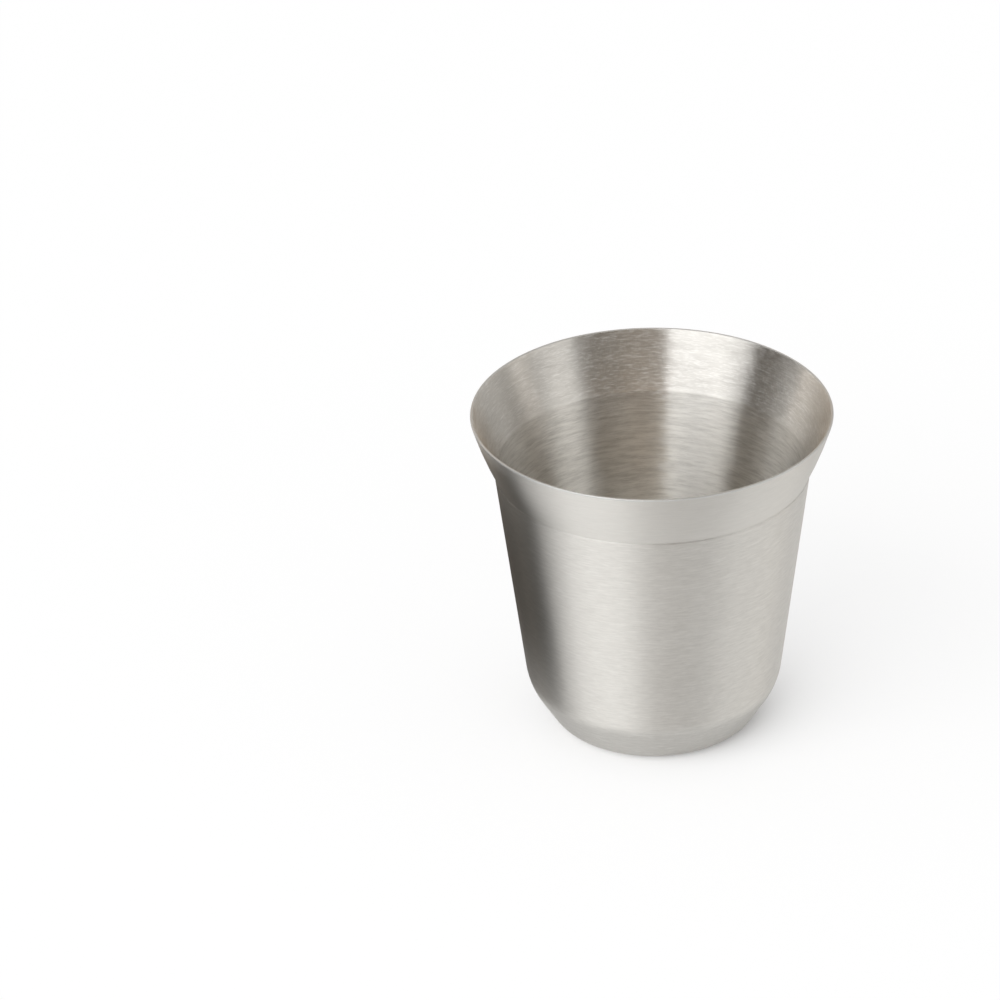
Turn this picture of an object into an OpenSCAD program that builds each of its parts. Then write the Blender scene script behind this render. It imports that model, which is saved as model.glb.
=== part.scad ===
// Double-wall steel espresso cup, made of two drawn shells welded at the neck.
// The origin is the centre of the foot, on the table, and +Z is the cup's axis.

/* [Cup] */
// Largest diameter, at the rim
rim_d = 65; // [58:0.5:72]
// Height from the table to the rim
cup_h = 62; // [56:0.5:70]
// Outside diameter at the seam, where the flared lip begins
neck_d = 56.8; // [52:0.2:59]
// Height of the single-wall lip above the seam
lip_h = 11.2; // [8:0.2:15]
// Angle by which the lip is steeper at the rim than at the seam
lip_turn = 8.5; // [2:0.5:12]

/* [Outer shell] */
// Sheet thickness of the outer shell
shell_t = 0.4; // [0.3:0.05:0.5]
// Angle between the outer wall and the cup's axis
wall_taper = 7.35; // [5:0.05:9]
// Inside radius of the bend from the wall to the base cone
bottom_r = 11.3; // [6:0.1:13]
// Angle between the base cone and the cup's axis
cone_angle = 32; // [26:0.5:38]
// Inside radius of the bend from the base cone to the foot
foot_r = 4.2; // [2:0.1:5]
// Diameter at which the base cone would meet the table
foot_d = 35.2; // [33:0.2:38]

/* [Liner] */
// Sheet thickness of the liner
liner_t = 0.5; // [0.4:0.05:0.6]
// Angle between the liner's wall and the cup's axis
liner_taper = 12.5; // [11:0.1:14]
// Inside radius of the liner's bottom corner
liner_r = 12; // [8:0.5:14]
// Height above the seam at which the liner's wall would meet its lip
crease_rise = 0.3; // [0.2:0.05:0.6]
// Inside radius of the bend from the liner's wall to its lip
crease_r = 2; // [0.5:0.1:3]
// Air gap between the liner's floor and the ledge of the shell
floor_gap = 2.7; // [2:0.1:5]

/* [Base] */
// Thickness of the plate that closes the shell
plate_t = 0.5; // [0.4:0.05:0.6]
// Gap between the plate's rim and the table
foot_lift = 0.7; // [0.6:0.05:1.2]
// Width of the flat ring that the cup stands on
ring_w = 1.2; // [0.8:0.1:2]
// Inside radius of the small bends round the plate
bend_r = 0.2; // [0.1:0.05:0.25]
// Width of the ledge that the plate is welded against
ledge_w = 2.2; // [1.5:0.1:3]
// Gap between the plate's stiffening panel and the edge of the shell's hole
panel_gap = 1.6; // [0.8:0.1:3]
// Height by which the panel stands above the plate's rim
panel_rise = 0.8; // [0.5:0.1:1.2]

/* [Welds] */
// Thickness left at the shell's edge, where it is bevelled to lie on the liner
edge_land = 0.1; // [0.06:0.02:0.2]
// Height of the groove that the neck weld fills
seam_w = 0.2; // [0.15:0.05:0.4]
// Share of the groove's depth that the neck weld leaves open
seam_sink = 0.25; // [0.1:0.05:0.5]
// Gap between the plate's edge and the recess, filled by the base weld
base_seam = 0.35; // [0.3:0.05:0.5]

/* [Hidden] */
turn_fn = 180;
// Height of the chords of a bend above its arc, and the angle between the facets of a round edge
arc_error = 0.01;
edge_step = 15;
// Share of a leg's free length that a large bend may use
leg_share = 0.98;
steel = "silver";
weld_steel = "dimgray";

// Directions are unit vectors [r, z]. A sheet's thickness lies on their left side.
function unit(v) = v / norm(v);
function heading(angle) = [sin(angle), cos(angle)];
function left(d) = [-d[1], d[0]];
function cross2(a, b) = a[0] * b[1] - a[1] * b[0];
function turned(d, angle) = [d[0] * cos(angle) - d[1] * sin(angle), d[0] * sin(angle) + d[1] * cos(angle)];
function meet(p, d, q, e) = p + d * cross2(q - p, e) / cross2(d, e);
function level(p, d, z) = [p[0] + d[0] * (z - p[1]) / d[1], z];

// Length that a bend's outer face takes from each leg, and the radius that a leg has room for
function tuck(radius, d, e) = radius * tan(acos(min(1, d * e)) / 2);
function fitting_r(radius, room, d, e) = min(radius, room / tuck(1, d, e));

// Bend of a sheet at vertex b of the path a, b, c. The radius is that of the bend's inside,
// and off is the distance of the drawn face from the face that the path follows.
function bend(a, b, c, radius, t, off) =
    let (
        d0 = unit(b - a),
        d1 = unit(c - b),
        angle = asin(cross2(d0, d1)),
        side = angle < 0 ? -1 : 1,
        inset = (left(d0) + left(d1)) / (1 + d0 * d1),
        face_r = side > 0 ? radius + t - off : radius + off,
        centre = b + inset * (side > 0 ? radius + t : -radius),
        steps = max(1, ceil(abs(angle) / (2 * acos(1 - arc_error / max(face_r, 1)))))
    )
    [for (i = [0:steps]) centre - side * face_r * left(turned(d0, angle * i / steps))];

// One face of a sheet along a path of vertices, with a bend radius at each inner vertex
function face(path, radii, t, off) =
    let (
        last = len(path) - 1,
        start = path[0] + off * left(unit(path[1] - path[0])),
        end = path[last] + off * left(unit(path[last] - path[last - 1])),
        bends = [for (i = [1:last - 1]) each bend(path[i - 1], path[i], path[i + 1], radii[i - 1], t, off)]
    )
    [start, each bends, end];

function backwards(points) = [for (i = [len(points) - 1:-1:0]) points[i]];

// Rounded edge of a sheet, from the path's end to the other face
function round_edge(path, t) =
    let (
        last = len(path) - 1,
        d = unit(path[last] - path[last - 1]),
        centre = path[last] + t / 2 * left(d)
    )
    [for (a = [edge_step:edge_step:180 - edge_step]) centre - t / 2 * left(turned(d, a))];

module revolve() {
    rotate_extrude($fn = turn_fn) children();
}

// Outer shell, drawn from the hole in its base outwards and up to the neck
neck = [neck_d / 2, cup_h - lip_h];
wall = heading(wall_taper);
cone = heading(cone_angle);
recess_h = plate_t + foot_lift;
foot_edge = [foot_d / 2, 0];
base_knee = meet(foot_edge, cone, neck, wall);
cone_length = norm(base_knee - foot_edge);
foot_outer_r = fitting_r(foot_r + shell_t, cone_length / 2, [1, 0], cone);
foot_tuck = tuck(foot_outer_r, [1, 0], cone);
knee_outer_r = fitting_r(bottom_r + shell_t, leg_share * (cone_length - foot_tuck), cone, wall);
foot_contact_r = foot_d / 2 - foot_tuck;
ring_inner_r = foot_contact_r - ring_w;
recess_r = ring_inner_r - bend_r - shell_t;
plate_r = recess_r - base_seam;
hole_r = plate_r - ledge_w;
shell_top = neck - wall * seam_w / wall[1];
shell_path = [[hole_r, recess_h], [recess_r, recess_h], [recess_r, 0], foot_edge, base_knee, shell_top];
shell_radii = [bend_r, bend_r, foot_outer_r - shell_t, knee_outer_r - shell_t];

// The shell's edge is bevelled from the inside and lies on the liner's wall. The seam's groove is above it.
liner_wall = heading(liner_taper);
seat = [neck[0] - edge_land, neck[1]];
groove_root = level(seat, liner_wall, shell_top[1]);
bevel_end = meet(neck + shell_t * left(wall), wall, seat, liner_wall);

// Liner, drawn from the middle of its floor outwards and up to the rim
floor_z = recess_h + shell_t + floor_gap;
floor_edge = level(seat, liner_wall, floor_z);
crease = level(seat, liner_wall, neck[1] + crease_rise);
rim_centre = [(rim_d - liner_t) / 2, cup_h - liner_t / 2];
lip_span = rim_centre - crease;
lip_mean = turned(unit(lip_span), -asin(liner_t / 2 / norm(lip_span)));
lip_low = turned(lip_mean, -lip_turn / 2);
lip_high = turned(lip_mean, lip_turn / 2);
rim_end = rim_centre - liner_t / 2 * left(lip_high);
lip_apex = meet(crease, lip_low, rim_end, lip_high);
crease_outer_r = fitting_r(crease_r + liner_t, crease_rise, liner_wall, lip_low);
crease_tuck = tuck(crease_outer_r, liner_wall, lip_low);
lip_leg = leg_share * min(norm(lip_apex - crease) - crease_tuck, norm(rim_end - lip_apex));
lip_r = lip_leg / tan(lip_turn / 2) - liner_t;
liner_path = [[0, floor_z], floor_edge, crease, lip_apex, rim_end];
liner_radii = [liner_r, crease_outer_r - liner_t, lip_r];

// Plate, drawn from its middle outwards, with its rim against the underside of the ledge
panel_top = foot_lift + panel_rise;
panel_r = hole_r - panel_gap;
plate_path = [[0, panel_top], [panel_r - panel_rise, panel_top], [panel_r, foot_lift], [plate_r, foot_lift]];
plate_radii = [bend_r, bend_r];

module inner_cup() {
    outside = face(liner_path, liner_radii, liner_t, 0);
    inside = face(liner_path, liner_radii, liner_t, liner_t);
    color(steel) revolve()
        polygon(concat(outside, round_edge(liner_path, liner_t), backwards(inside)));
}

module outer_shell() {
    outside = face(shell_path, shell_radii, shell_t, 0);
    inside = face(shell_path, shell_radii, shell_t, shell_t);
    inside_wall = [for (i = [0:len(inside) - 2]) inside[i]];
    color(steel) revolve()
        polygon(concat(outside, [groove_root, bevel_end], backwards(inside_wall)));
}

module base_plate() {
    outside = face(plate_path, plate_radii, plate_t, 0);
    inside = face(plate_path, plate_radii, plate_t, plate_t);
    color(steel) revolve()
        polygon(concat(outside, backwards(inside)));
}

// The neck weld fills the groove between the liner and the shell's edge, just below flush
module neck_weld() {
    on_shell = shell_top + (groove_root - shell_top) * seam_sink;
    color(weld_steel) revolve()
        polygon([groove_root, on_shell, seat]);
}

// The base weld fills the gap round the plate, up to the small bend of the recess
module base_weld() {
    corner = bend([plate_r, recess_h], [recess_r, recess_h], [recess_r, 0], bend_r, shell_t, 0);
    color(weld_steel) revolve()
        polygon(concat([[plate_r, foot_lift], [plate_r, recess_h]], corner, [[recess_r, foot_lift]]));
}

inner_cup();
outer_shell();
base_plate();
neck_weld();
base_weld();
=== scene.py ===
import bpy
import math
from mathutils import Matrix, Vector


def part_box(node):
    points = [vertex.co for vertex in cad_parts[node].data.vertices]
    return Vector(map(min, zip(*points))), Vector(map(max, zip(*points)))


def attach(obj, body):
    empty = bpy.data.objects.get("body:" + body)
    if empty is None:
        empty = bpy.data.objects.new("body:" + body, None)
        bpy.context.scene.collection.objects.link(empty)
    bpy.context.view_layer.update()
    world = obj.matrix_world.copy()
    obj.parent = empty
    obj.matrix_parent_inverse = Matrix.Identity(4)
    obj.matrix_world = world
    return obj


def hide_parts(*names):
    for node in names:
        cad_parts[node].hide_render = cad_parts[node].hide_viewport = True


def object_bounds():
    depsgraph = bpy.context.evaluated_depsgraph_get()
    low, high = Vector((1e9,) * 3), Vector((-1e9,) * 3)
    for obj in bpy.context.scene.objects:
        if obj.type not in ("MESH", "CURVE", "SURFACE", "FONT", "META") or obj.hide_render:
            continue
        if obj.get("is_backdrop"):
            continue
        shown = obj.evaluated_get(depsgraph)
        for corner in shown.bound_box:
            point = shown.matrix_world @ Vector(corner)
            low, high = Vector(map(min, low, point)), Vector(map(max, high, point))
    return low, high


# Double-wall espresso cup in brushed stainless steel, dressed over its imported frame
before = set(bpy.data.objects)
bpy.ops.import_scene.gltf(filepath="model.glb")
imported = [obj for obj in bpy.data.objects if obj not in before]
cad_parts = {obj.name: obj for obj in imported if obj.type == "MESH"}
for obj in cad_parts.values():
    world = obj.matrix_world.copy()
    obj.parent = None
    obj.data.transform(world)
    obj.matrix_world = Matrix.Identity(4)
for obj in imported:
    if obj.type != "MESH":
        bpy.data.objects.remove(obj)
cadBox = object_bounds()
mm = 0.001
body = "root"
print("frame loaded with", len(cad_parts), "nodes")

meshing = {
    "stepsRound": 256,
    "bendDegrees": 3.0,
    "edgeDegrees": 15.0,
    "longestSpan": 1.6,  # millimetres
    "mergeDistance": 0.002 * mm,
    "sharpDegrees": 40,
    "finishes": 3,  # how many finishes one piece can have
    "wavesPerMetre": 90.0,
    "waveSeed": 7.0,
}


# Outlines are lists of (radius, height) vectors in millimetres. A sheet lies on the left of its path.
def heading(degrees):
    return Vector((math.sin(math.radians(degrees)), math.cos(math.radians(degrees))))


def leftOf(d):
    return Vector((-d.y, d.x))


def turned(d, angle):
    c, s = math.cos(angle), math.sin(angle)
    return Vector((d.x * c - d.y * s, d.x * s + d.y * c))


# Where the line through p along d meets the line through q along e
def meet(p, d, q, e):
    return p + d * ((q - p).cross(e) / d.cross(e))


def levelWith(p, d, height):
    return Vector((p.x + d.x * (height - p.y) / d.y, height))


# Length that a bend takes from each of its legs
def tuck(radius, d, e):
    return radius * math.tan(math.acos(d.dot(e)) / 2)


# Bend of a sheet at a corner of its path. The radius is that of the bend's inside, and off is how far
# the drawn face lies from the face that the path follows.
def bendPoints(before, corner, after, radius, sheet, off):
    d0 = (corner - before).normalized()
    d1 = (after - corner).normalized()
    angle = math.asin(d0.cross(d1))
    side = -1 if angle < 0 else 1
    inset = (leftOf(d0) + leftOf(d1)) / (1 + d0.dot(d1))
    centre = corner + inset * (radius + sheet if side > 0 else -radius)
    faceRadius = radius + sheet - off if side > 0 else radius + off
    steps = max(2, math.ceil(abs(math.degrees(angle)) / meshing["bendDegrees"]))
    return [centre - leftOf(turned(d0, angle * i / steps)) * side * faceRadius for i in range(steps + 1)]


def sheetFace(path, radii, sheet, off):
    points = [path[0] + leftOf((path[1] - path[0]).normalized()) * off]
    for i, radius in enumerate(radii):
        points += bendPoints(path[i], path[i + 1], path[i + 2], radius, sheet, off)
    return points + [path[-1] + leftOf((path[-1] - path[-2]).normalized()) * off]


# Rounded edge of a sheet, from the end of its path to the other face
def roundEdge(path, sheet):
    d = (path[-1] - path[-2]).normalized()
    centre = path[-1] + leftOf(d) * sheet / 2
    step = meshing["edgeDegrees"]
    angles = [math.radians(step * i) for i in range(1, round(180 / step))]
    return [centre - leftOf(turned(d, a)) * sheet / 2 for a in angles]


def nodeSize(name):
    low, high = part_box(name)
    return high[0] / mm, low[2] / mm, high[2] / mm  # radius, lowest and highest point


# Small helpers for building node trees. An input is either linked to a socket or given its own value.
def feed(tree, node, inputs):
    for key, value in inputs.items():
        if isinstance(value, bpy.types.NodeSocket):
            tree.links.new(value, node.inputs[key])
        else:
            node.inputs[key].default_value = value


def addNode(tree, kind, inputs=None, **settings):
    made = tree.nodes.new(kind)
    for key, value in settings.items():
        setattr(made, key, value)
    feed(tree, made, inputs or {})
    return made


def wholeMath(tree, operation, a, b):
    return addNode(tree, "FunctionNodeIntegerMath", {0: a, 1: b}, operation=operation).outputs[0]


def realMath(tree, operation, a, b=0.0):
    return addNode(tree, "ShaderNodeMath", {0: a, 1: b}, operation=operation).outputs[0]


# Geometry Nodes: turns an outline round the cup's axis
def sampleOutline(tree, outline, value, row, kind):
    inputs = {"Geometry": outline, "Value": value, "Index": row}
    found = addNode(tree, "GeometryNodeSampleIndex", inputs, data_type=kind, domain="POINT")
    return found.outputs["Value"]


def namedValue(tree, name, kind):
    return addNode(tree, "GeometryNodeInputNamedAttribute", {"Name": name}, data_type=kind).outputs[0]


def buildTurnTree():
    tree = bpy.data.node_groups.new("turnOutline", "GeometryNodeTree")
    inputs = {
        "Outline": "Geometry",
        "Steps Round": "Int",
        "Merge Distance": "Float",
        "Wave Share": "Float",
        "Waves Per Metre": "Float",
        "Seed": "Float",
    }
    inputs.update({f"Finish {i}": "Material" for i in range(meshing["finishes"])})
    for name, kind in inputs.items():
        tree.interface.new_socket(name, in_out="INPUT", socket_type="NodeSocket" + kind)
    tree.interface.new_socket("Piece", in_out="OUTPUT", socket_type="NodeSocketGeometry")
    given = addNode(tree, "NodeGroupInput").outputs
    outline, steps = given["Outline"], given["Steps Round"]

    # A grid with a row for each point of the outline, and one column more than there are steps round
    rows = addNode(tree, "GeometryNodeAttributeDomainSize", {"Geometry": outline}).outputs["Point Count"]
    columns = wholeMath(tree, "ADD", steps, 1)
    size = {"Vertices X": columns, "Vertices Y": rows}
    grid = addNode(tree, "GeometryNodeMeshGrid", size).outputs["Mesh"]
    index = addNode(tree, "GeometryNodeInputIndex").outputs[0]
    row = wholeMath(tree, "MODULO", index, rows)
    share = realMath(tree, "DIVIDE", wholeMath(tree, "DIVIDE", index, rows), steps)
    position = addNode(tree, "GeometryNodeInputPosition").outputs[0]
    point = sampleOutline(tree, outline, position, row, "FLOAT_VECTOR")
    along = sampleOutline(tree, outline, namedValue(tree, "along", "FLOAT"), row, "FLOAT")
    turn = {"Vector": point, "Angle": realMath(tree, "MULTIPLY", share, math.tau)}
    place = addNode(tree, "ShaderNodeVectorRotate", turn, rotation_type="Z_AXIS").outputs[0]

    # The sheet's slight unevenness draws it inwards only, so that it stays inside the frame's box
    wave = {"Vector": place, "W": given["Seed"], "Scale": given["Waves Per Metre"], "Detail": 1.0}
    noise = addNode(tree, "ShaderNodeTexNoise", wave, noise_dimensions="4D").outputs["Fac"]
    kept = realMath(tree, "SUBTRACT", 1.0, realMath(tree, "MULTIPLY", noise, given["Wave Share"]))
    scale = addNode(tree, "ShaderNodeCombineXYZ", {"X": kept, "Y": kept, "Z": 1.0}).outputs[0]
    uneven = addNode(tree, "ShaderNodeVectorMath", {0: place, 1: scale}, operation="MULTIPLY").outputs[0]
    shape = addNode(tree, "GeometryNodeSetPosition", {"Geometry": grid, "Position": uneven}).outputs[0]

    # U is the share of a turn and V the way along the outline in metres
    uv = {"Value": addNode(tree, "ShaderNodeCombineXYZ", {"X": share, "Y": along}).outputs[0]}
    uv = addNode(tree, "GeometryNodeFieldOnDomain", uv, data_type="FLOAT_VECTOR", domain="POINT").outputs[0]
    stored = {"Geometry": shape, "Name": "UVMap", "Value": uv}
    mapped = addNode(tree, "GeometryNodeStoreNamedAttribute", stored, data_type="FLOAT2", domain="CORNER")
    faceRow = wholeMath(tree, "MODULO", index, wholeMath(tree, "SUBTRACT", rows, 1))
    finish = sampleOutline(tree, outline, namedValue(tree, "finish", "INT"), faceRow, "INT")
    stored = {"Geometry": mapped.outputs[0], "Name": "finish", "Value": finish}
    marked = addNode(tree, "GeometryNodeStoreNamedAttribute", stored, data_type="INT", domain="FACE")

    # Closing the seam and the poles, then the finishes
    joining = {"Geometry": marked.outputs[0], "Distance": given["Merge Distance"]}
    closed = addNode(tree, "GeometryNodeMergeByDistance", joining).outputs[0]
    smooth = addNode(tree, "GeometryNodeSetShadeSmooth", {"Geometry": closed}).outputs[0]
    done = addNode(tree, "GeometryNodeRealizeInstances", {"Geometry": smooth}).outputs[0]
    for i in range(meshing["finishes"]):
        numbers = {2: namedValue(tree, "finish", "INT"), 3: i}  # the whole-number sockets of the node
        chosen = addNode(tree, "FunctionNodeCompare", numbers, data_type="INT", operation="EQUAL")
        painted = {"Geometry": done, "Selection": chosen.outputs[0], "Material": given[f"Finish {i}"]}
        done = addNode(tree, "GeometryNodeSetMaterial", painted).outputs[0]
    out = addNode(tree, "NodeGroupOutput")
    tree.links.new(done, out.inputs[0])
    return tree


turnTree = buildTurnTree()
print("turning tree built")


def splitLongSpans(points):
    result = [points[0]]
    for a, b in zip(points, points[1:]):
        parts = max(1, math.ceil((b - a).length / meshing["longestSpan"]))
        result += [a + (b - a) * i / parts for i in range(1, parts + 1)]
    return result


# Each run is a stretch of the outline and the number of its finish. The metal lies on the outline's
# left, so that the faces look outward. The last finish stands in for those that a piece doesn't name.
def turnPiece(name, runs, finishes, waveShare=0.0):
    points, marks = [], []
    for run, mark in runs:
        joined = points[-1:] + run  # the span from the run before is split too
        fine = splitLongSpans(joined)[len(joined) - len(run):]
        points += fine
        marks += [mark] * len(fine)
    along = [0.0]
    for a, b in zip(points, points[1:]):
        along.append(along[-1] + (b - a).length * mm)
    mesh = bpy.data.meshes.new(name)
    mesh.from_pydata([(p.x * mm, 0.0, p.y * mm) for p in points], [], [])
    mesh.attributes.new("along", "FLOAT", "POINT").data.foreach_set("value", along)
    # A face takes the finish of the run that its far end belongs to
    mesh.attributes.new("finish", "INT", "POINT").data.foreach_set("value", marks[1:] + marks[-1:])
    made = bpy.data.objects.new(name, mesh)
    bpy.context.scene.collection.objects.link(made)
    modifier = made.modifiers.new("turn", "NODES")
    modifier.node_group = turnTree
    values = {
        "Steps Round": meshing["stepsRound"],
        "Merge Distance": meshing["mergeDistance"],
        "Wave Share": waveShare,
        "Waves Per Metre": meshing["wavesPerMetre"],
        "Seed": meshing["waveSeed"],
    }
    finishes = finishes + finishes[-1:] * (meshing["finishes"] - len(finishes))
    values.update({f"Finish {i}": finish for i, finish in enumerate(finishes)})
    for item in turnTree.interface.items_tree:
        if item.in_out == "INPUT" and item.name in values:
            modifier[item.identifier] = values[item.name]
    evaluated = made.evaluated_get(bpy.context.evaluated_depsgraph_get())
    plain = bpy.data.meshes.new_from_object(evaluated)
    made.modifiers.clear()
    made.data = plain
    plain.name = name
    plain.set_sharp_from_angle(angle=math.radians(meshing["sharpDegrees"]))
    print(name, "turned:", len(points), "outline points,", len(plain.polygons), "faces")
    return made


# Brushed steel: the grain runs round the cup on the piece's own UV map
noiseValues = {
    "middle": 0.5,
    "grainRange": (0.3, 0.7),  # the part of the noise's range that most of it lies in
    "cloudRange": (0.35, 0.65),
    "grainRoughness": 0.7,
    "cloudDetail": 2.0,
}
glossTurn = 0.25  # a quarter turn stretches the gloss across the grain


def remap(tree, value, low, high, newLow, newHigh):
    inputs = {"Value": value, "From Min": low, "From Max": high, "To Min": newLow, "To Max": newHigh}
    return addNode(tree, "ShaderNodeMapRange", inputs).outputs[0]


def centred(tree, value):
    return realMath(tree, "SUBTRACT", value, noiseValues["middle"])


def blendColour(tree, share, a, b):
    mix = addNode(tree, "ShaderNodeMix", {0: share, 6: a, 7: b}, data_type="RGBA")
    return mix.outputs[2]


def objectPlace(tree):
    return addNode(tree, "ShaderNodeTexCoord").outputs["Object"]


# A layer's strokes have a length round the cup and a width across, and drift up and down a little
def grainNoise(tree, layer, radius):
    uv = addNode(tree, "ShaderNodeUVMap", uv_map="UVMap").outputs[0]
    split = addNode(tree, "ShaderNodeSeparateXYZ", {"Vector": uv}).outputs
    turn = realMath(tree, "MULTIPLY", split["X"], math.tau)
    scale = 1 / layer["driftSize"]
    bend = {"Vector": objectPlace(tree), "Scale": scale, "W": layer["seed"], "Detail": 0.0}
    drift = addNode(tree, "ShaderNodeTexNoise", bend, noise_dimensions="4D").outputs["Fac"]
    drift = realMath(tree, "MULTIPLY", centred(tree, drift), layer["drift"])
    reach = radius / layer["length"]
    spot = addNode(tree, "ShaderNodeCombineXYZ", {
        "X": realMath(tree, "MULTIPLY", realMath(tree, "COSINE", turn), reach),
        "Y": realMath(tree, "MULTIPLY", realMath(tree, "SINE", turn), reach),
        "Z": realMath(tree, "DIVIDE", realMath(tree, "ADD", split["Y"], drift), layer["across"]),
    }).outputs[0]
    grain = {"Vector": spot, "W": layer["seed"], "Scale": 1.0, "Detail": layer["detail"],
             "Roughness": noiseValues["grainRoughness"]}
    return addNode(tree, "ShaderNodeTexNoise", grain, noise_dimensions="4D").outputs["Fac"]


# A value is one number, or a pair for below and above the height where the look changes: the liner's finish
# at the crease, the base's painted shade at the knee
def zoned(tree, look, value):
    if not isinstance(value, tuple):
        return value
    height = addNode(tree, "ShaderNodeSeparateXYZ", {"Vector": objectPlace(tree)}).outputs["Z"]
    low, high = look["change"] - look["changeSoft"], look["change"] + look["changeSoft"]
    return remap(tree, height, low, high, *value)


# The grain's direction wanders a little from stroke to stroke, which frays the edges of reflections
def wanderingTangent(tree, look):
    wander = centred(tree, grainNoise(tree, look["wander"], look["radius"]))
    rise = realMath(tree, "MULTIPLY", wander, look["wander"]["slope"])
    around = addNode(tree, "ShaderNodeTangent", direction_type="RADIAL", axis="Z").outputs[0]
    tilt = addNode(tree, "ShaderNodeCombineXYZ", {"X": 0.0, "Y": 0.0, "Z": rise}).outputs[0]
    return addNode(tree, "ShaderNodeVectorMath", {0: around, 1: tilt}, operation="ADD").outputs[0]


# Faint cloudy patches from handling
def handlingClouds(tree, look):
    detail = noiseValues["cloudDetail"]
    cloud = {"Vector": objectPlace(tree), "Scale": 1 / look["cloudSize"], "Detail": detail}
    cloud = addNode(tree, "ShaderNodeTexNoise", cloud).outputs["Fac"]
    return remap(tree, cloud, *noiseValues["cloudRange"], -look["cloud"], look["cloud"])


def steelMaterial(name, look):
    material = bpy.data.materials.new(name)
    material.use_nodes = True
    tree = material.node_tree

    # Base grain: light and dark strokes, each a little rougher or smoother
    grain = look["grain"]
    fine = grainNoise(tree, grain, look["radius"])
    strokes = centred(tree, remap(tree, fine, *noiseValues["grainRange"], 0.0, 1.0))
    strokes = realMath(tree, "MULTIPLY", strokes, zoned(tree, look, grain["share"]))
    strokes = realMath(tree, "ADD", strokes, zoned(tree, look, grain["centre"]))
    colour = blendColour(tree, strokes, (*look["dark"], 1.0), (*look["light"], 1.0))
    height = realMath(tree, "MULTIPLY", fine, grain["depth"])
    spread = remap(tree, fine, *noiseValues["grainRange"], grain["rough"], -grain["rough"])
    roughness = realMath(tree, "ADD", spread, zoned(tree, look, look["roughness"]))
    roughness = realMath(tree, "ADD", roughness, handlingClouds(tree, look))

    # Scratches and short marks: the high peaks of their own noise. Their dents are real, and their lighter
    # colour is a painted glint. Haze makes them scatter light evenly.
    metallic = 1.0
    for layer in look["marks"]:
        peaks = grainNoise(tree, layer, look["radius"])
        lines = remap(tree, peaks, layer["from"], layer["from"] + layer["span"], 0.0, 1.0)
        lines = realMath(tree, "MULTIPLY", lines, zoned(tree, look, layer["share"]))
        paintedGlint = realMath(tree, "MULTIPLY", lines, layer["paintedGlint"])
        colour = blendColour(tree, paintedGlint, colour, (*layer["colour"], 1.0))
        height = realMath(tree, "SUBTRACT", height, realMath(tree, "MULTIPLY", lines, layer["depth"]))
        if "haze" in layer:
            haze = realMath(tree, "MULTIPLY", lines, layer["haze"])
            metallic = realMath(tree, "SUBTRACT", metallic, haze)

    bump = addNode(tree, "ShaderNodeBump", {"Height": height, "Strength": 1.0, "Distance": 1.0})
    feed(tree, tree.nodes["Principled BSDF"], {
        "Base Color": colour,
        "Metallic": metallic,
        "Roughness": roughness,
        "Normal": bump.outputs[0],
        "Tangent": wanderingTangent(tree, look),
        "Anisotropic": look["anisotropic"],
        "Anisotropic Rotation": glossTurn,
        "Specular Tint": (*look["edgeTint"], 1.0),
    })
    print("steel made:", name)
    return material


# Outer shell. The base's material, darkened with painted shade, covers the foot, the base cone and all of
# the inside.
shellValues = {
    "sheet": 0.4,
    "wallTaper": 7.35,
    "coneAngle": 32.0,
    "coneFoot": 17.6,  # radius at which the base cone would meet the table
    "kneeBend": 11.3,
    "footBend": 4.2,
    "smallBend": 0.2,
    "ledgeHeight": 1.2,
    "ledgeWidth": 2.2,
    "seam": 0.2,
    "finishRise": 1.0,  # how far above the knee the wall's finish starts
    "waveShare": 0.0012,
}
# In a look, radius is the piece's own. Dark and light are the grain's two colours: its strokes lie at
# centre between them, spread by share. Marks are the peaks of their noise, over the span after from.
wallLook = {
    "radius": 26 * mm, "roughness": 0.55, "anisotropic": 0.85, "cloud": 0.01, "cloudSize": 14 * mm,
    "dark": (0.605, 0.59, 0.56), "light": (0.705, 0.69, 0.655), "edgeTint": (0.75, 0.75, 0.75),
    "grain": {"seed": 5.0, "length": 2.4 * mm, "across": 0.36 * mm, "drift": 0.15 * mm, "driftSize": 9 * mm,
              "detail": 3.0, "depth": 0.003 * mm, "rough": 0.02, "share": 0.8, "centre": 0.5},
    "wander": {"seed": 6.0, "length": 2 * mm, "across": 0.4 * mm, "drift": 0.0, "driftSize": 9 * mm,
               "detail": 1.0, "slope": 0.08},
    # Painted glint: each mark's colour is lighter than the steel
    "marks": [
        {"seed": 8.0, "length": 3 * mm, "across": 0.3 * mm, "drift": 0.5 * mm, "driftSize": 11 * mm,
         "detail": 1.0, "from": 0.56, "span": 0.1, "paintedGlint": 0.2, "colour": (0.80, 0.79, 0.76),
         "depth": 0.002 * mm, "share": 1.0},
    ],
}
# Painted shade: below the knee, on the cone, the base's colour is darker than the wall's. It stands in for
# the shadowed floor that the cone reflects.
baseLookWithPaintedShade = dict(wallLook, dark=(0.50, 0.487, 0.46), roughness=(0.36, 0.55))
baseLookWithPaintedShade.update(change=8.6 * mm, changeSoft=1.0 * mm)
baseLookWithPaintedShade["grain"] = dict(wallLook["grain"], share=0.4, centre=(0.24, 0.75))
wallSteel = steelMaterial("wallBrushedSteel", wallLook)
baseSteelWithPaintedShade = steelMaterial("baseBrushedSteelPaintedShade", baseLookWithPaintedShade)

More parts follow.
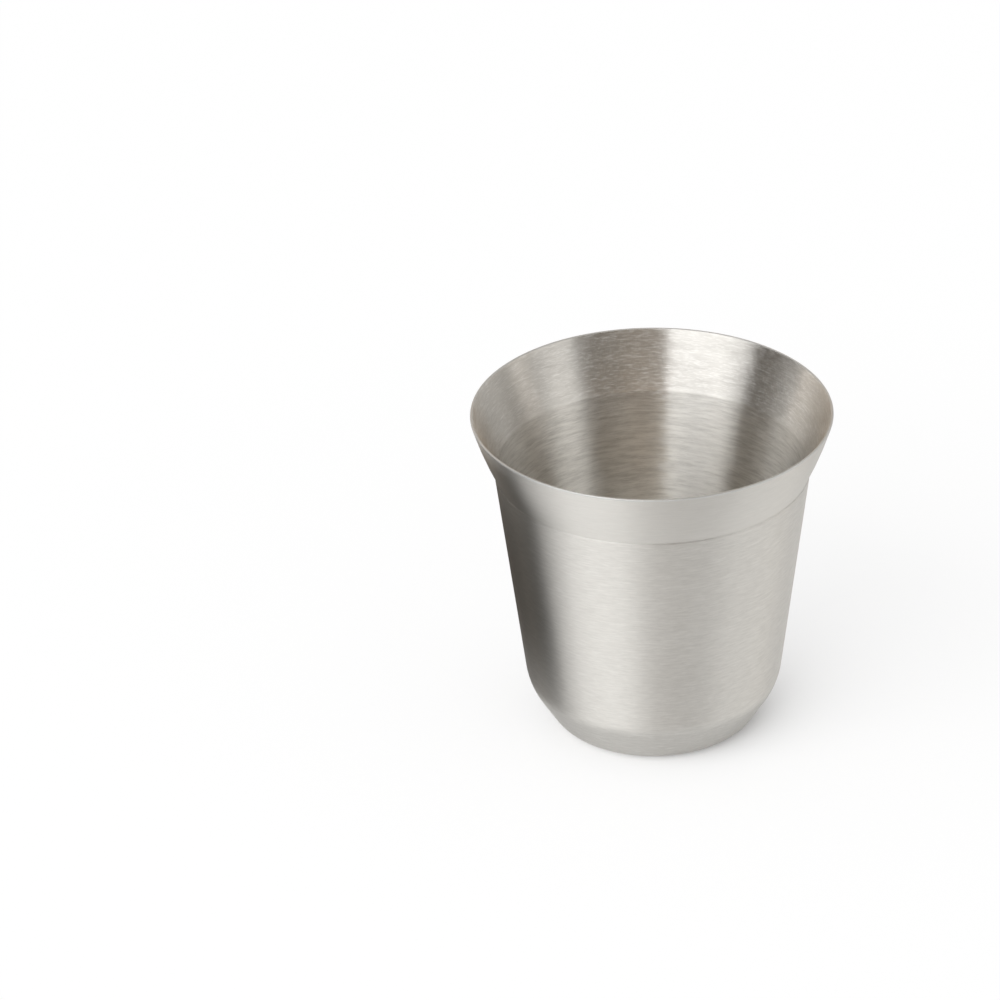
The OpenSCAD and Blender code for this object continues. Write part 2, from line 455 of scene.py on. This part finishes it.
shellRadius, _, shellHeight = nodeSize("outer_shell")
plateRadius, plateLow, _ = nodeSize("base_plate")
recessRadius = nodeSize("base_weld")[0]
shellSheet = shellValues["sheet"]
shellTop = Vector((shellRadius, shellHeight))
wall = heading(shellValues["wallTaper"])
cone = heading(shellValues["coneAngle"])
neck = shellTop + wall * shellValues["seam"] / wall.y
coneFoot = Vector((shellValues["coneFoot"], 0))
knee = meet(coneFoot, cone, neck, wall)
holeRadius = plateRadius - shellValues["ledgeWidth"]
ledgeInner = Vector((holeRadius, shellValues["ledgeHeight"]))
ledgeOuter = Vector((recessRadius, shellValues["ledgeHeight"]))
recessFoot = Vector((recessRadius, 0))
shellPath = [ledgeInner, ledgeOuter, recessFoot, coneFoot, knee, shellTop]
shellRadii = [shellValues[bend] for bend in ("smallBend", "smallBend", "footBend", "kneeBend")]

# The shell's edge is bevelled from the inside and lies on the liner's wall
linerValues = {
    "sheet": 0.5,
    "taper": 12.5,
    "floorCorner": 12.0,
    "creaseRise": 0.3,  # height above the neck at which the wall would meet the lip
    "creaseBend": 2.0,
    "lipTurn": 8.5,  # how much steeper the lip is at the rim than at the crease
    "lipLegShare": 0.98,  # share of its legs that the lip's long bend may use
    "edgeLand": 0.1,  # what is left of the shell's sheet at its bevelled edge
    "waveShare": 0.0012,
}
linerWall = heading(linerValues["taper"])
seat = neck - Vector((linerValues["edgeLand"], 0))
grooveRoot = levelWith(seat, linerWall, shellHeight)
bevelEnd = meet(neck + leftOf(wall) * shellSheet, wall, seat, linerWall)

outside = sheetFace(shellPath, shellRadii, shellSheet, 0)
inside = sheetFace(shellPath, shellRadii, shellSheet, shellSheet)[:-1]
finishStart = knee.y + shellValues["finishRise"]
kneeEnd = next(i for i, p in enumerate(outside) if p.y > finishStart)
back = [grooveRoot, bevelEnd] + inside[::-1] + outside[:1]
shellRuns = [(outside[:kneeEnd], 1), (outside[kneeEnd:], 0), (back, 1)]
shell = turnPiece("outerShell", shellRuns, [wallSteel, baseSteelWithPaintedShade], shellValues["waveShare"])
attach(shell, body)
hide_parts("outer_shell")

# Liner: one drawn sheet from the floor to the rim. Its finish changes at the crease.
linerLook = {
    "radius": 28 * mm, "roughness": 0.36, "anisotropic": 1.0, "cloud": 0.02, "cloudSize": 14 * mm,
    "dark": (0.60, 0.585, 0.555), "light": (0.81, 0.795, 0.76), "edgeTint": (0.9, 0.9, 0.9),
    "change": 51.0 * mm, "changeSoft": 1.0 * mm,
    "grain": {"seed": 1.0, "length": 5 * mm, "across": 0.55 * mm, "drift": 1.0 * mm, "driftSize": 10 * mm,
              "detail": 4.0, "depth": 0.003 * mm, "rough": 0.04, "share": (1.5, 0.4),
              "centre": (0.63, 0.22)},
    "wander": {"seed": 4.0, "length": 3 * mm, "across": 0.5 * mm, "drift": 0.5 * mm, "driftSize": 10 * mm,
               "detail": 2.0, "slope": 0.35},
    # Painted glint: each mark's colour is lighter than the steel
    "marks": [
        {"seed": 2.0, "length": 3 * mm, "across": 0.25 * mm, "drift": 3.0 * mm, "driftSize": 13 * mm,
         "detail": 1.0, "from": 0.57, "span": 0.1, "paintedGlint": 0.3, "colour": (0.88, 0.87, 0.85),
         "depth": 0.002 * mm, "haze": 0.15, "share": (0.4, 1.0)},
        {"seed": 3.0, "length": 1.1 * mm, "across": 0.22 * mm, "drift": 1.0 * mm, "driftSize": 9 * mm,
         "detail": 1.0, "from": 0.50, "span": 0.15, "paintedGlint": 0.25, "colour": (0.88, 0.87, 0.85),
         "depth": 0.001 * mm, "haze": 0.16, "share": (0.15, 1.0)},
    ],
}
lipLook = dict(wallLook, radius=30 * mm, marks=[])
lipLook["grain"] = dict(wallLook["grain"], length=3 * mm, share=0.35)
rimLook = dict(lipLook, roughness=0.5, anisotropic=0.0, dark=(0.52, 0.52, 0.51), light=(0.61, 0.61, 0.60))
linerSteel = steelMaterial("linerBrushedSteel", linerLook)
lipSteel = steelMaterial("lipSatinSteel", lipLook)
rimSteel = steelMaterial("rimPolishedSteel", rimLook)

rimRadius, linerLow, rimHeight = nodeSize("inner_cup")
linerSheet = linerValues["sheet"]
floorEdge = levelWith(seat, linerWall, linerLow)
crease = levelWith(seat, linerWall, neck.y + linerValues["creaseRise"])
rimCentre = Vector((rimRadius - linerSheet / 2, rimHeight - linerSheet / 2))
lipSpan = rimCentre - crease
lipMean = turned(lipSpan.normalized(), -math.asin(linerSheet / 2 / lipSpan.length))
halfTurn = math.radians(linerValues["lipTurn"]) / 2
lipLow, lipHigh = turned(lipMean, -halfTurn), turned(lipMean, halfTurn)
rimEnd = rimCentre - leftOf(lipHigh) * linerSheet / 2
lipApex = meet(crease, lipLow, rimEnd, lipHigh)
creaseTuck = tuck(linerValues["creaseBend"] + linerSheet, linerWall, lipLow)
lipRoom = min((lipApex - crease).length - creaseTuck, (rimEnd - lipApex).length)
lipBend = linerValues["lipLegShare"] * lipRoom / math.tan(halfTurn) - linerSheet
linerPath = [Vector((0, linerLow)), floorEdge, crease, lipApex, rimEnd]
linerRadii = [linerValues["floorCorner"], linerValues["creaseBend"], lipBend]
outside = sheetFace(linerPath, linerRadii, linerSheet, 0)
inside = sheetFace(linerPath, linerRadii, linerSheet, linerSheet)
linerRuns = [(outside, 1), (roundEdge(linerPath, linerSheet), 2), (inside[::-1], 0)]
liner = turnPiece("liner", linerRuns, [linerSteel, lipSteel, rimSteel], linerValues["waveShare"])
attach(liner, body)
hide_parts("inner_cup")

# Closing plate, with its stiffening panel
plateValues = {
    "sheet": 0.5,
    "panelGap": 1.6,
    "panelRise": 0.8,
    "bend": 0.2,
}
plateLook = dict(wallLook, radius=10 * mm, roughness=0.45, marks=[])
plateSteel = steelMaterial("plateTurnedSteel", plateLook)
plateSheet = plateValues["sheet"]
panelHeight = plateLow + plateValues["panelRise"]
panelRadius = holeRadius - plateValues["panelGap"]
panelEdge = Vector((panelRadius - plateValues["panelRise"], panelHeight))
plateEdge = Vector((plateRadius, plateLow))
platePath = [Vector((0, panelHeight)), panelEdge, Vector((panelRadius, plateLow)), plateEdge]
plateRadii = [plateValues["bend"], plateValues["bend"]]
outside = sheetFace(platePath, plateRadii, plateSheet, 0)
inside = sheetFace(platePath, plateRadii, plateSheet, plateSheet)
plate = turnPiece("closingPlate", [(outside + inside[::-1], 0)], [plateSteel])
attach(plate, body)
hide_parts("base_plate")

# Welds: the one in the groove at the neck, and the one round the closing plate
weldValues = {
    "sink": 0.25,  # share of the groove's depth that the neck weld leaves open
    "dark": (0.60, 0.585, 0.56),
    "light": (0.70, 0.685, 0.655),
}
weldLook = dict(wallLook, marks=[], dark=weldValues["dark"], light=weldValues["light"])
weldSteel = steelMaterial("weldSteel", weldLook)
onShell = shellTop + (grooveRoot - shellTop) * weldValues["sink"]
neckLoop = [grooveRoot, onShell, seat, grooveRoot]
neckWeld = turnPiece("neckWeld", [(neckLoop, 0)], [weldSteel])
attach(neckWeld, body)
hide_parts("neck_weld")

plateTop = Vector((plateRadius, shellValues["ledgeHeight"]))
corner = bendPoints(plateTop, ledgeOuter, recessFoot, shellValues["smallBend"], shellSheet, 0)
baseLoop = [plateEdge, Vector((recessRadius, plateLow))] + corner[::-1] + [plateTop, plateEdge]
baseWeld = turnPiece("baseWeld", [(baseLoop, 0)], [weldSteel])
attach(baseWeld, body)
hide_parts("base_weld")


# Studio: azimuth 0 is the camera's side and grows towards its right
def studioPoint(azimuth, elevation, distance):
    a, e = math.radians(azimuth), math.radians(elevation)
    return Vector((math.sin(a) * math.cos(e), -math.cos(a) * math.cos(e), math.sin(e))) * distance


def ringPoints(sides, radius, height=0.0):
    return [studioPoint(360 * i / sides, 0, radius) + Vector((0, 0, height)) for i in range(sides)]


def stagePiece(name, corners, faces):
    mesh = bpy.data.meshes.new(name)
    mesh.from_pydata(corners, [], faces)
    made = bpy.data.objects.new(name, mesh)
    bpy.context.scene.collection.objects.link(made)
    made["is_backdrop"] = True
    return made


def bareMaterial(name):
    material = bpy.data.materials.new(name)
    material.use_nodes = True
    tree = material.node_tree
    tree.nodes.remove(tree.nodes["Principled BSDF"])
    return material, tree, tree.nodes["Material Output"].inputs["Surface"]


# A card glows by itself, and only reflections see it
def reflectedCard(name, corners, faces, light):
    made = stagePiece(name, corners, faces)
    material, tree, surface = bareMaterial(name)
    glow = addNode(tree, "ShaderNodeEmission", {"Color": (*light, 1.0), "Strength": 1.0})
    tree.links.new(glow.outputs[0], surface)
    made.data.materials.append(material)
    made.visible_camera = made.visible_diffuse = made.visible_shadow = made.visible_transmission = False


def seenDirectly(tree):
    path = addNode(tree, "ShaderNodeLightPath").outputs
    mirrored = realMath(tree, "MAXIMUM", path["Is Glossy Ray"], path["Is Transmission Ray"])
    return realMath(tree, "MAXIMUM", path["Is Camera Ray"], mirrored)


# Floor: a diffuse floor that keeps the cup's rendered shadow, with plain white mixed in where it is seen
# directly or in reflections.
# Less white is mixed in near the cup, and less still close to the foot round a centre set off to the right
# and behind:
# a painted contact shadow over the rendered one, which the base's reflections see too. Further out it turns
# into plain white.
floorValues = {
    "radius": 2.5, "sides": 96, "colour": (0.92, 0.92, 0.92, 1.0),
    "near": 60 * mm, "far": 160 * mm, "whiteNear": 0.87, "whiteFar": 0.99,
    "shade": 15.5 * mm, "shadeFall": 2.0, "shadeCentre": (2.5 * mm, 2.5 * mm, 0.0),
}
floorRing = ringPoints(floorValues["sides"], floorValues["radius"])
floor = stagePiece("floor", floorRing, [range(floorValues["sides"])])
material, tree, surface = bareMaterial("paleFloor")
distance = {0: objectPlace(tree), 1: floorValues["shadeCentre"]}
distance = addNode(tree, "ShaderNodeVectorMath", distance, operation="DISTANCE").outputs["Value"]
near, far = floorValues["near"], floorValues["far"]
whiteShare = remap(tree, distance, near, far, floorValues["whiteNear"], floorValues["whiteFar"])
# Painted shadow: the white share falls off towards the foot as the shade radius over the distance, raised
# to shadeFall
shade = realMath(tree, "DIVIDE", floorValues["shade"], distance)
shade = realMath(tree, "POWER", shade, floorValues["shadeFall"])
unshaded = realMath(tree, "MAXIMUM", realMath(tree, "SUBTRACT", 1.0, shade), 0.0)
whiteShare = realMath(tree, "MULTIPLY", whiteShare, unshaded)
whiteShare = realMath(tree, "MULTIPLY", whiteShare, seenDirectly(tree))
pale = addNode(tree, "ShaderNodeBsdfDiffuse", {"Color": floorValues["colour"]}).outputs[0]
white = addNode(tree, "ShaderNodeEmission", {"Strength": 1.0}).outputs[0]
mix = addNode(tree, "ShaderNodeMixShader", {0: whiteShare, 1: pale, 2: white})
tree.links.new(mix.outputs[0], surface)
floor.data.materials.append(material)
print("floor made")

# Upright cards on a circle round the cup: a softbox to the left of the camera, one to its right, and the
# room between and behind them. Azimuths and elevations are in degrees.
cardValues = {"columns": 12, "distance": 1.6}
cards = {
    "softboxFace": {"azimuths": (-68.5, -11.5), "elevations": (1, 24), "light": (2.3, 2.3, 2.3)},
    "softboxTop": {"azimuths": (-68.5, -11.5), "elevations": (24, 62), "light": (2.9, 2.9, 2.9)},
    "roomGapLow": {"azimuths": (-11.5, 22), "elevations": (0, 22), "light": (0.31, 0.33, 0.35)},
    "roomGap": {"azimuths": (-11.5, 22), "elevations": (22, 40), "light": (0.41, 0.27, 0.15)},
    "roomGapTop": {"azimuths": (-11.5, 22), "elevations": (40, 60), "light": (0.95, 0.87, 0.79)},
    "roomCornerLow": {"azimuths": (22, 52), "elevations": (0, 22), "light": (0.51, 0.54, 0.57)},
    "roomCorner": {"azimuths": (22, 52), "elevations": (22, 60), "light": (0.235, 0.15, 0.075)},
    "sideGap": {"azimuths": (-110, -69.5), "elevations": (0, 60), "light": (0.05, 0.043, 0.036)},
    "sideSoftbox": {"azimuths": (52, 86), "elevations": (1, 60), "light": (1.4, 1.38, 1.35)},
    "sideRoomLow": {"azimuths": (86, 101), "elevations": (0, 26), "light": (2.2, 2.12, 2.02)},
    "farSideLow": {"azimuths": (101, 128), "elevations": (0, 26), "light": (1.0, 0.97, 0.93)},
    "sideRoom": {"azimuths": (86, 128), "elevations": (26, 60), "light": (0.10, 0.08, 0.06)},
    "leftRoom": {"azimuths": (-150, -110), "elevations": (0, 28), "light": (1.2, 1.06, 0.92)},
    "backRoom": {"azimuths": (-210, -150), "elevations": (14, 34), "light": (0.62, 0.40, 0.20)},
}


def cardCorners(azimuths, elevations):
    corners = []
    for i in range(cardValues["columns"] + 1):
        share = i / cardValues["columns"]
        foot = studioPoint(azimuths[0] * (1 - share) + azimuths[1] * share, 0, cardValues["distance"])
        for elevation in elevations:
            height = cardValues["distance"] * math.tan(math.radians(elevation))
            corners.append((foot.x, foot.y, height))
    return corners


cardFaces = [(2 * i, 2 * i + 2, 2 * i + 3, 2 * i + 1) for i in range(cardValues["columns"])]
for name, card in cards.items():
    reflectedCard(name, cardCorners(card["azimuths"], card["elevations"]), cardFaces, card["light"])

ceilingValues = {"sides": 24, "radius": 1.6, "height": 2.7, "light": (0.54, 0.51, 0.46)}
ceilingRing = ringPoints(ceilingValues["sides"], ceilingValues["radius"], ceilingValues["height"])
reflectedCard("ceiling", ceilingRing, [range(ceilingValues["sides"])], ceilingValues["light"])

# A low dark card close to the cup's left, which darkens that edge
flagValues = {"x": -0.038, "y": (-0.020, 0.050), "z": (0.0, 0.058), "light": (0.02, 0.02, 0.02)}
(y0, y1), (z0, z1) = flagValues["y"], flagValues["z"]
flagCorners = [(flagValues["x"], y, z) for y, z in ((y0, z0), (y1, z0), (y1, z1), (y0, z1))]
reflectedCard("lowFlag", flagCorners, [range(4)], flagValues["light"])
print("studio cards made")

# Lights
lightValues = {
    "fill": 0.65,
    "keyWatts": 18.5,
    "keySize": (1.4, 1.1),
    "keyAzimuth": -38,
    "keyElevation": 38,
    "keyDistance": 1.5,
}
world = bpy.data.worlds.new("studio")
bpy.context.scene.world = world
world.use_nodes = True
tree = world.node_tree
fill = addNode(tree, "ShaderNodeBackground", {"Color": (1, 1, 1, 1), "Strength": lightValues["fill"]})
white = addNode(tree, "ShaderNodeBackground", {"Color": (1, 1, 1, 1), "Strength": 1.0})
mixed = {0: seenDirectly(tree), 1: fill.outputs[0], 2: white.outputs[0]}
mix = addNode(tree, "ShaderNodeMixShader", mixed)
tree.links.new(mix.outputs[0], tree.nodes["World Output"].inputs["Surface"])

lamp = bpy.data.lights.new("keySoftbox", "AREA")
lamp.shape = "RECTANGLE"
lamp.size, lamp.size_y = lightValues["keySize"]
lamp.energy = lightValues["keyWatts"]
key = bpy.data.objects.new("keySoftbox", lamp)
bpy.context.scene.collection.objects.link(key)
azimuth, elevation = lightValues["keyAzimuth"], lightValues["keyElevation"]
key.location = studioPoint(azimuth, elevation, lightValues["keyDistance"])
key.rotation_euler = (-key.location).to_track_quat("-Z", "Y").to_euler()
key.visible_camera = key.visible_glossy = False
print("lights made")

# Camera, with its angles in radians and its lens and sensor in millimetres
cameraValues = {
    "position": (0.0, -1.10207, 0.65785),
    "yaw": -0.02487,
    "pitch": 0.50793,
    "roll": -0.01972,
    "lens": 252.41,
    "sensor": 36.0,
    "clip": (0.01, 20.0),
}
yaw, pitch, roll = cameraValues["yaw"], cameraValues["pitch"], cameraValues["roll"]
forward = Vector((math.sin(yaw) * math.cos(pitch), math.cos(yaw) * math.cos(pitch), -math.sin(pitch)))
right = Vector((math.cos(yaw), -math.sin(yaw), 0))
up = right.cross(forward)
right, up = right * math.cos(roll) + up * math.sin(roll), up * math.cos(roll) - right * math.sin(roll)
camera = bpy.data.objects.new("camera", bpy.data.cameras.new("camera"))
bpy.context.scene.collection.objects.link(camera)
axes = Matrix((right, up, -forward)).transposed().to_4x4()
camera.matrix_world = Matrix.Translation(cameraValues["position"]) @ axes
camera.data.lens = cameraValues["lens"]
camera.data.sensor_width = cameraValues["sensor"]
camera.data.clip_start, camera.data.clip_end = cameraValues["clip"]
bpy.context.scene.camera = camera
bpy.context.scene.view_settings.view_transform = "Standard"
print("camera placed")

boxes = {"cad": cadBox, "visual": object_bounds()}
boxes = {name: [list(map(float, corner)) for corner in box] for name, box in boxes.items()}
